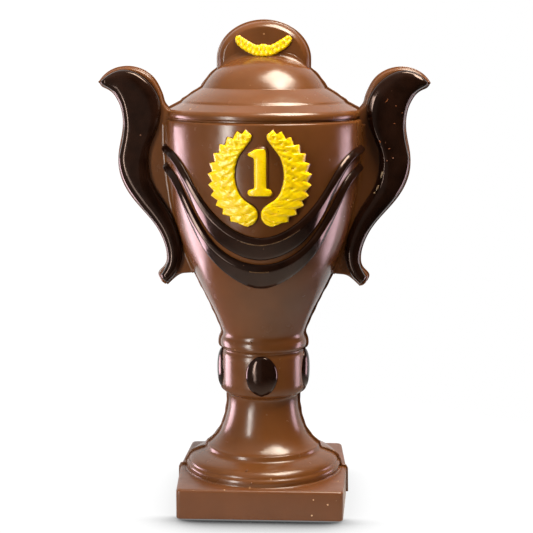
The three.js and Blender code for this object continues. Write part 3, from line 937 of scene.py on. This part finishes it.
@dataclass
class Wreath:
    """Laurel wreath of two halves, open at the top, in yellow cocoa butter over a slightly larger
    milk chocolate bed. Each half is a puffy band: a row of leaves whose tips make a saw edge
    outside, a row of smaller leaves inside, and pits along the line where the two rows meet."""

    figure: TurnedFigure
    # Inner edge (across, height) and the angle of the outer edge that its row runs to.
    pairs: Points = (
        (4.5, 119.8, -73.5), (2.5, 120.8, -67.0), (1.0, 122.6, -58.0), (0.6, 124.7, -50.0),
        (1.2, 126.8, -42.0), (3.2, 128.7, -34.0), (5.8, 130.4, -25.0), (7.9, 133.1, -16.0),
        (9.1, 136.7, -6.0), (9.5, 140.3, 6.0), (9.0, 144.1, 18.0), (7.8, 147.4, 30.0),
        (6.1, 149.8, 42.0), (4.3, 152.2, 54.0), (3.1, 154.0, 64.0), (2.9, 155.6, 74.5))
    centre: float = 138.6
    tip_radius: float = 20.35
    tooth: float = 1.8
    first_tip: float = -68.0
    tip_step: float = 12.1
    tip_lean: float = 0.32  # the share of a leaf between its tip and the notch above it
    foot_radius: float = 19.4  # the outer edge's largest radius at the foot of the band
    foot_end: float = 0.4  # the foot ends this many leaves above the first tip
    relief: float = 1.2
    root: float = 0.25  # relief at the very edge
    crown: float = 0.3
    leaf_relief: float = 0.4
    pit_depth: float = 0.65
    edge_round: float = 1.0
    # Shares across the band where the inner row ends, the pits lie and the outer row starts.
    inner_row_end: float = 0.36
    pit_line: float = 0.4
    outer_row_start: float = 0.42
    # How far the puffs of a row take to reach their height, and the width of a pit's bell curve
    # across the band and along it.
    inner_ramp: float = 0.14
    outer_ramp: float = 0.18
    pit_across: float = 0.075
    pit_along: float = 0.42
    # The bed's growth at the ends fades over this many rows. The crown is round there too, with
    # rows that count as this far apart.
    end_rows: int = 6
    end_rise: float = 0.22
    # The bed is larger than the coat by this much, and lower.
    bed_grow: float = 0.42
    bed_drop: float = 0.75
    rows: int = 240

    def build(self) -> None:
        """Coats and beds of both halves, on both faces."""
        for side in Side:
            word = side.name.lower()
            coat, bed = (rings * (side.value, 1, 1) for rings in (
                self._rings(0.0, 0.0), self._rings(self.bed_grow, self.bed_drop)))
            make_on_faces((f"laurel_coat_{word}", coat, YELLOW, f"wreath_{word}"),
                          (f"laurel_bed_{word}", bed, MILK, ""))

    def _edges(self, grow: float) -> tuple[Array, Array, Array]:
        """The inner edge is a smooth curve. The outer edge is the circle of the tips less the
        tooth, which is nothing at a tip and grows fast above it and slowly below.

        Args:
            grow: how far the outline is moved out, across the band and at its ends.

        Returns:
            Inner edge and outer edge (rows, 2), and the phase (rows,), counted in leaves.
        """
        curve = smooth_curve(self.pairs, count=400)
        angle = np.linspace(self.pairs[0][2], self.pairs[-1][2], self.rows)
        inner = np.stack([np.interp(angle, curve[:, 2], curve[:, i]) for i in (0, 1)], -1)
        phase = (angle - self.first_tip) / self.tip_step
        part = phase % 1
        back = np.minimum(part / self.tip_lean, (1 - part) / (1 - self.tip_lean))
        radius = self.tip_radius - self.tooth * back * np.clip(0.55 + 0.25 * phase, 0.5, 1)
        radius = np.where(phase < self.foot_end, np.minimum(radius, self.foot_radius), radius)
        turn = np.radians(angle)
        outer = np.stack([radius * np.cos(turn), self.centre + radius * np.sin(turn)], -1)
        along = unit(np.gradient((inner + outer) / 2, axis=0))
        across = unit(outer - inner)
        sign = np.where(np.arange(self.rows) < self.rows / 2, -1, 1)[:, None]
        shift = along * sign * grow * np.clip(1 - rows_to_end(self.rows) / self.end_rows, 0, 1)
        return inner - across * grow + shift, outer + across * grow + shift, phase

    def _rings(self, grow: float, drop: float) -> Array:
        """Depth over the cup: a crown that is a quarter circle at both edges, plus |cos| puffs
        for the leaves (the outer row, then the inner row's, which are narrower), less pits that
        are bell curves about the pit line and between two leaves, and a little unevenness.

        Args:
            grow: how far the outline is moved out.
            drop: how much lower the crown is.

        Returns:
            Rings (rows, points, 3) of the right half, on the front.
        """
        inner, outer, phase = self._edges(grow)
        shares = edge_shares(31)
        share, u = shares[None], phase[:, None]
        width = np.linalg.norm(outer - inner, axis=1, keepdims=True)
        from_edge = np.minimum(np.minimum(share, 1 - share) * width,
                               rows_to_end(self.rows) * self.end_rise + 0.05)
        crown = quarter_round(np.clip(from_edge / self.edge_round, 0, 1))
        outer_row = np.clip((share - self.outer_row_start) / self.outer_ramp, 0, 1)
        inner_row = np.clip((self.inner_row_end - share) / self.inner_ramp, 0, 1)
        puff = outer_row * (np.abs(np.cos(math.pi * (u + 0.25 * (1 - share)))) ** 0.7 - 0.55)
        puff = puff * (0.75 + 0.45 * np.cos(math.pi * (5 * share + 0.7 * u)))
        puff = puff + inner_row * 0.7 * (np.abs(np.cos(math.pi * (u * 1.15 + 2 * share))) - 0.5)
        pit = np.exp(-(((share - self.pit_line) / self.pit_across) ** 2))
        pit = pit * np.exp(-((np.sin(math.pi * (u + 0.3)) / self.pit_along) ** 2))
        uneven = 0.06 * np.sin(7.1 * u + 19 * share) + 0.05 * np.sin(11.3 * u - 24 * share + 1)
        depth = self.root - drop + crown * (
            self.relief + self.crown * np.sin(math.pi * share) + self.leaf_relief * puff
            - self.pit_depth * pit + uneven)
        depth[:, [0, -1]] = -BURIED
        flat = across_band(inner, outer, shares)
        return self.figure.on_cup(flat[..., 0], depth, flat[..., 1])


@dataclass
class Numeral:
    """Numeral one inside the wreath: a domed yellow stroke on a slightly larger milk bed."""

    figure: TurnedFigure
    left: Points = (
        (1.0, 150.9), (-2.2, 150.1), (-4.7, 148.5), (-4.3, 147.7), (-2.3, 146.9), (-2.15, 146.0),
        (-2.15, 136.0), (-2.3, 135.0), (-4.2, 134.3), (-4.9, 133.2), (-4.4, 132.2), (-2.0, 131.7))
    right: Points = (
        (1.9, 150.8), (2.4, 150.3), (2.95, 149.3), (2.95, 148.0), (2.95, 147.0), (2.95, 146.0),
        (2.95, 136.0), (3.1, 135.0), (4.5, 134.4), (5.3, 133.3), (4.9, 132.2), (3.0, 131.7))
    corner: float = 0.5
    root: float = 0.25
    relief: float = 1.7
    edge_share: float = 0.36  # of the stroke's width, for each rounded edge
    middle_rise: float = 1.03
    end_rows: int = 7  # the first and the last rows, over which the crown falls off
    bed_grow: float = 0.45
    bed_relief: float = 1.25
    rows: int = 90

    def build(self) -> None:
        """Coat and bed on both faces."""
        make_on_faces(
            ("numeral_coat", self._rings(0.0, self.relief), YELLOW, "numeral"),
            ("numeral_bed", self._rings(self.bed_grow, self.bed_relief), MILK, ""))

    def _rings(self, grow: float, relief: float) -> Array:
        """Rows between the paired edge points, corners kept. Each row is a rounded roof: a
        quarter circle up, a nearly flat crown and a quarter circle down; the crown falls off to
        the first and the last row by a quarter circle too.

        Args:
            grow: how far the outline is moved out.
            relief: how far the crown stands out.

        Returns:
            Rings (rows, points, 3) on the front.
        """
        at = np.linspace(0, 1, self.rows)
        edges = []
        for corners in (self.left, self.right):
            line = rounded(np.pad(corners, ((0, 0), (0, 1)), constant_values=self.corner), 5)
            walk = np.linspace(0, 1, len(line))
            edges.append(np.stack([np.interp(at, walk, line[:, i]) for i in (0, 1)], -1))
        left, right = edges
        out = unit(right - left) * grow
        left, right = left - out, right + out
        low, high = left[:, 1].min(), left[:, 1].max()
        stretch = (left[:, 1] - (low + high) / 2) / (high - low) * 2 * grow
        left[:, 1] += stretch
        right[:, 1] += stretch
        turn = np.linspace(0, math.pi / 2, 7)
        share = self.edge_share * (1 - np.cos(turn))
        share = np.concatenate([[0], share, [0.5], 1 - share[::-1], [1]])
        rise = np.concatenate([[0], np.sin(turn), [self.middle_rise], np.sin(turn[::-1]), [0]])
        soft = quarter_round(np.clip(rows_to_end(self.rows) / self.end_rows, 0.05, 1))
        depth = self.root + (relief - self.root) * rise * soft
        depth[:, [0, -1]] = -BURIED
        flat = across_band(left, right, share)
        return self.figure.on_cup(flat[..., 0], depth, flat[..., 1])


@dataclass
class TabLaurel:
    """Small yellow laurel on each face of the lid's tab: two branches that rise from a knot, so
    thickly coated that their leaves are little more than lumps."""

    # Right half of the lower and the upper edge, from the middle out to the end.
    lower: Points = (
        (0.0, 185.0), (2.6, 185.2), (6.8, 187.0), (10.2, 189.4), (11.8, 191.6))
    upper: Points = (
        (0.0, 190.2), (1.9, 189.7), (5.2, 190.8), (8.2, 192.6), (10.4, 194.1))
    plate_depth: float = 5.0
    root: float = 0.2
    relief: float = 1.15
    lump_relief: float = 0.3
    lump_pitch: float = 1.75
    edge_round: float = 0.9
    notch: float = 0.16
    blunt: float = 0.9  # how much of the width is taken off at the tips, on either side
    blunt_rows: int = 7
    end_rows: int = 5
    end_rise: float = 0.2  # the crown is round at the ends, with rows that count as this far apart
    bed_grow: float = 0.3
    bed_drop: float = 0.55
    rows: int = 120

    def build(self) -> None:
        """Coat and bed on both faces."""
        coat, bed = self._rings(0.0, 0.0), self._rings(self.bed_grow, self.bed_drop)
        make_on_faces(("tab_laurel_coat", coat, YELLOW, "tab_laurel"),
                      ("tab_laurel_bed", bed, MILK, ""))

    def _rings(self, grow: float, drop: float) -> Array:
        """Sections from the left end to the right end, a quarter circle at both edges and ends.
        Lumps in two staggered rows are |cos| waves along, and lower where the rows meet and at
        the edges; they notch the edges too. The ends are blunted by a parabola.

        Args:
            grow: how far the outline is moved out.
            drop: how much lower the crown is.

        Returns:
            Rings (rows, points, 3) on the front.
        """
        low, high = (symmetric_curve(edge, self.rows) for edge in (self.lower, self.upper))
        along = np.gradient((low + high) / 2, axis=0)
        step = np.linalg.norm(along, axis=1, keepdims=True)
        length = np.cumsum(step)[:, None] - step.sum() / 2
        across = unit(high - low)
        to_end = rows_to_end(self.rows)
        notch = self.notch * (np.abs(np.cos(math.pi * length / self.lump_pitch)) - 0.6)
        blunt = self.blunt * np.clip(1 - to_end / self.blunt_rows, 0, 1) ** 2
        shift = along / step * np.sign(length) * grow * np.clip(1 - to_end / self.end_rows, 0, 1)
        low = low - across * (grow + notch - blunt) + shift
        high = high + across * (grow - notch - blunt) + shift
        shares = edge_shares(21)
        share = shares[None]
        width = np.linalg.norm(high - low, axis=1, keepdims=True)
        from_edge = np.minimum(np.minimum(share, 1 - share) * width,
                               to_end * self.end_rise + 0.04)
        crown = quarter_round(np.clip(from_edge / self.edge_round, 0, 1))
        phase = length / self.lump_pitch + 0.5 * (share > 0.5)
        in_row = 0.4 + 0.6 * np.abs(np.sin(2 * math.pi * share)) ** 0.6
        lumps = np.abs(np.cos(math.pi * (phase + 0.6 * np.abs(share - 0.5)))) * in_row
        uneven = 0.12 * np.sin(2.3 * length + 7 * share)
        depth = self.root - drop + crown * (
            self.relief + self.lump_relief * (lumps - 0.4) + uneven)
        depth[:, [0, -1]] = -BURIED
        flat = across_band(low, high, shares)
        return np.stack([flat[..., 0], -(self.plate_depth + depth), flat[..., 1]], -1)


@dataclass
class Crumbs:
    """Crumbs and scrapings of milk chocolate that the mould left on the front of the right-hand
    dark panel, and drops on the foot and the ring."""

    # Across, height, half length, half width and the angle of the long side in degrees.
    crumbs: Points = (
        (50.0, 167.5, 1.0, 0.14, 52.0), (47.4, 151.0, 0.55, 0.3, -60.0),
        (51.3, 148.2, 0.45, 0.16, 10.0), (52.8, 144.4, 0.5, 0.14, -10.0),
        (50.4, 143.2, 0.25, 0.2, 0.0), (56.3, 162.6, 0.3, 0.14, 30.0),
        (53.8, 165.5, 0.45, 0.12, 5.0), (53.2, 158.4, 0.4, 0.12, 15.0))
    scrapings: Points = (
        (48.4, 137.6, 1.5, 0.42, 75.0), (46.7, 132.2, 1.3, 0.34, 68.0),
        (45.6, 130.1, 0.5, 0.3, 40.0))
    # Centres (x, y, z).
    drops: Points = (
        (-4.5, -16.9, 69.4), (-3.3, -32.4, 14.6), (-5.5, -28.9, 18.7))
    panel_depth: float = 6.38
    half_thickness: float = 0.16
    drop_radius: float = 0.5

    def build(self) -> None:
        """Crumbs, scrapings and drops, each kind as one piece of ellipsoids."""
        for name, kind, finish in (("orange_crumbs", self.crumbs, CRUMB),
                                   ("pale_scrapings", self.scrapings, SCRAPING)):
            x, z, length, width, degrees = np.array(kind).T
            c, s, flat = np.cos(np.radians(degrees)), np.sin(np.radians(degrees)), 0 * x
            centre, long, wide, thick = (np.stack(a, -1) for a in (
                (x, flat - self.panel_depth, z), (c * length, flat, s * length),
                (-s * width, flat, c * width), (flat, flat - self.half_thickness, flat)))
            make_piece(name, self._ellipsoids(centre, long, wide, thick), finish)
        centre = np.array(self.drops)
        axes = (row * self.drop_radius + 0 * centre for row in np.eye(3))
        make_piece("drops", self._ellipsoids(centre, *axes), MILK)

    @staticmethod
    def _ellipsoids(centre: Array, long: Array, wide: Array, thick: Array) -> Array:
        """Ellipsoids about their centres, from the three half axes of each.

        Args:
            centre: array (count, 3).
            long: half axes that the rings follow one another along, (count, 3).
            wide: second half axes.
            thick: third half axes.

        Returns:
            Shells (count, rings, points, 3).
        """
        tilt = np.linspace(-0.495, 0.495, 9)[None, :, None, None] * math.pi
        turn = np.linspace(0, 2 * math.pi, 12, endpoint=False)[None, None, :, None]
        centre, long, wide, thick = (a[:, None, None] for a in (centre, long, wide, thick))
        ring = wide * np.cos(turn) + thick * np.sin(turn)
        return centre + long * np.sin(tilt) + ring * np.cos(tilt)


# ---------------------------------------------------------------- studio


@dataclass
class Softbox:
    """A rectangular studio light, aimed at a point of the figure. Angles are in degrees, and
    lengths in metres."""

    name: str
    azimuth: float  # from the front towards +X
    elevation: float
    distance: float
    width: float
    height: float
    power: float
    colour: str = "#ffffff"
    target: tuple[float, float, float] = (0.0, 0.0, 0.1)

    def build(self) -> None:
        """Adds the light. It lights and is mirrored, but the camera doesn't see it."""
        a, e = math.radians(self.azimuth), math.radians(self.elevation)
        out = np.array([math.sin(a) * math.cos(e), -math.cos(a) * math.cos(e), math.sin(e)])
        light = bpy.data.lights.new(self.name, "AREA")
        light.shape = "RECTANGLE"
        light.size, light.size_y = self.width, self.height
        light.energy = self.power
        light.color = linear(self.colour)[:3]
        lamp = bpy.data.objects.new(self.name, light)
        lamp.location = (np.array(self.target) + out * self.distance).tolist()
        lamp.rotation_euler = (math.pi / 2 - e, 0, a)
        lamp.visible_camera = False
        bpy.context.scene.collection.objects.link(lamp)


@dataclass
class Studio:
    """White table and backdrop, softboxes and the camera at the photograph's viewpoint. Angles
    are in degrees, and lengths in metres."""

    image_size: float = 533.0
    focal_px: float = 1385.9
    sensor_mm: float = 36.0
    camera_distance: float = 0.572
    camera_height: float = 0.1899
    camera_azimuth: float = 2.56
    camera_yaw: float = -0.12
    camera_pitch: float = 9.10
    camera_roll: float = -0.11
    # Brightness of the room behind the figure, above it and at either side.
    backdrop: float = 0.8
    ceiling: float = 0.35
    room_right: float = 0.03
    room_left: float = 0.25
    # The board's grey falls from its middle to its rim.
    board_radius: float = 0.17
    board_middle: float = 0.46
    board_rim: float = 0.05
    shadow_reach: float = 0.024
    burnt_out: float = 1.05
    softboxes: tuple[Softbox, ...] = (
        Softbox("strip_left", -40, 6, 0.9, 0.16, 0.52, 6.0),
        Softbox("strip_low", -34, -18, 0.9, 0.2, 0.3, 1.2),
        Softbox("high_front", 52, 60, 0.8, 0.24, 0.2, 1.5),
        Softbox("overhead", 66, 71, 0.8, 0.46, 0.42, 15.5, "#fff6e6"),
        Softbox("side_left", -112, -15, 0.8, 0.34, 0.5, 6.4, "#ffd9e6"),
        Softbox("side_right", 110, -14, 0.8, 0.25, 0.5, 2.9, "#ffd9e8"))

    def build(self) -> None:
        """Camera, world, floor and lights."""
        bpy.context.scene.view_settings.view_transform = "Standard"
        self._camera()
        self._world()
        self._floor()
        for softbox in self.softboxes:
            softbox.build()

    def _camera(self) -> None:
        """Perspective camera from the fitted pixel focal length."""
        data = bpy.data.cameras.new("camera")
        data.sensor_width = self.sensor_mm
        data.lens = self.focal_px / self.image_size * self.sensor_mm
        data.clip_start, data.clip_end = 0.01, 50
        camera = bpy.data.objects.new("camera", data)
        a = math.radians(self.camera_azimuth)
        camera.location = (self.camera_distance * math.sin(a),
                           -self.camera_distance * math.cos(a), self.camera_height)
        camera.rotation_mode = "XYZ"
        aim = math.radians(self.camera_azimuth + self.camera_yaw)
        camera.rotation_euler = (math.radians(90 - self.camera_pitch), 0, aim)
        camera.rotation_euler.rotate_axis("Z", math.radians(-self.camera_roll))
        bpy.context.scene.collection.objects.link(camera)
        bpy.context.scene.camera = camera

    def _world(self) -> None:
        """A dark room whose directions brighten towards the back, the ceiling and the left, each
        by a smooth step and all added up; the camera sees plain white all round."""
        world = bpy.data.worlds.new("studio")
        world.use_nodes = True
        tree = world.node_tree
        place = add_node(tree, "ShaderNodeTexCoord").outputs["Generated"]
        parts = add_node(tree, "ShaderNodeSeparateXYZ", {0: place})
        shade = 0.0
        for axis, start, end, least, most in (("Y", 0.3, 0.7, 0.0, self.backdrop),
                                              ("Z", 0.55, 0.95, 0.0, self.ceiling),
                                              ("X", 0.02, -0.14, self.room_right, self.room_left)):
            part = add_node(tree, "ShaderNodeMapRange", {
                "Value": parts.outputs[axis], "From Min": start, "From Max": end,
                "To Min": least, "To Max": most}, interpolation_type="SMOOTHSTEP")
            shade = add_node(tree, "ShaderNodeMath", {0: shade, 1: part.outputs["Result"]},
                             operation="ADD").outputs[0]
        seen = add_node(tree, "ShaderNodeLightPath").outputs["Is Camera Ray"]
        strength = add_node(tree, "ShaderNodeMath", {0: shade, 1: seen}, operation="MAXIMUM")
        background = tree.nodes["Background"].inputs
        tree.links.new(strength.outputs[0], background["Strength"])
        background["Color"].default_value = (1, 1, 1, 1)
        bpy.context.scene.world = world

    def _floor(self) -> None:
        """Round white board. The camera sees it burnt out to white but for the soft shadow in front
        of the plinth, as in a photograph whose background was whitened; it lights the figure as
        a light grey board."""
        turn = np.linspace(0, 2 * math.pi, 96, endpoint=False)
        rim = self.board_radius * np.stack([np.cos(turn), np.sin(turn), 0 * turn], -1)
        mesh = bpy.data.meshes.new("table_top")
        mesh.from_pydata(rim.tolist(), [], [list(range(len(rim)))])
        mesh.materials.append(self._board_material())
        floor = bpy.data.objects.new("table_top", mesh)
        bpy.context.scene.collection.objects.link(floor)

    def _board_material(self) -> bpy.types.Material:
        """Lights and mirror images see matt white paint, whose grey falls off with the distance
        from the middle. The camera sees a glow: white, less a shadow that grows with how much
        of a point's surroundings is hidden, and that is nearly gone behind the plinth's front.

        Returns:
            The new material.
        """
        material = bpy.data.materials.new("White painted board, matt")
        material.use_nodes = True
        tree = material.node_tree
        place = add_node(tree, "ShaderNodeTexCoord").outputs["Object"]
        away = add_node(tree, "ShaderNodeVectorMath", {0: place}, operation="LENGTH")
        parts = add_node(tree, "ShaderNodeSeparateXYZ", {0: place})
        hidden = add_node(tree, "ShaderNodeAmbientOcclusion", {"Distance": self.shadow_reach},
                          samples=24)
        grey, shadow, behind = (
            add_node(tree, "ShaderNodeMapRange", {
                "Value": value, "From Min": start, "From Max": end, "To Min": least,
                "To Max": most}, interpolation_type=step).outputs["Result"]
            for value, start, end, least, most, step in (
                (away.outputs["Value"], 0.04, 0.16, self.board_middle, self.board_rim,
                 "SMOOTHSTEP"),
                (hidden.outputs["AO"], 0.6, 0.98, 0.0, self.burnt_out, "LINEAR"),
                (parts.outputs["Y"], -0.038, -0.03, 0.0, 0.85, "SMOOTHSTEP")))
        shader = tree.nodes["Principled BSDF"]
        shader.inputs["Roughness"].default_value = 0.9
        tree.links.new(grey, shader.inputs["Base Color"])
        shown = add_node(tree, "ShaderNodeMix", {0: behind, 2: shadow, 3: self.burnt_out})
        shine = add_node(tree, "ShaderNodeEmission", {"Strength": shown.outputs[0]})
        seen = add_node(tree, "ShaderNodeLightPath").outputs["Is Camera Ray"]
        board = add_node(tree, "ShaderNodeMixShader", {
            0: seen, 1: shader.outputs["BSDF"], 2: shine.outputs["Emission"]})
        tree.links.new(board.outputs["Shader"], tree.nodes["Material Output"].inputs["Surface"])
        return material


def main() -> None:
    """Builds the sub-assemblies in order."""
    logging.basicConfig(level=logging.INFO, format="%(message)s")
    figure, plinth = TurnedFigure(), Plinth()
    for assembly in (Studio(), figure, plinth, Seam(figure, plinth),
                     *(Handle(side, figure) for side in Side), LidTab(figure), Jewels(),
                     Swags(figure), Wreath(figure), Numeral(figure), TabLaurel(), Crumbs()):
        assembly.build()


if __name__ == "__main__":
    main()
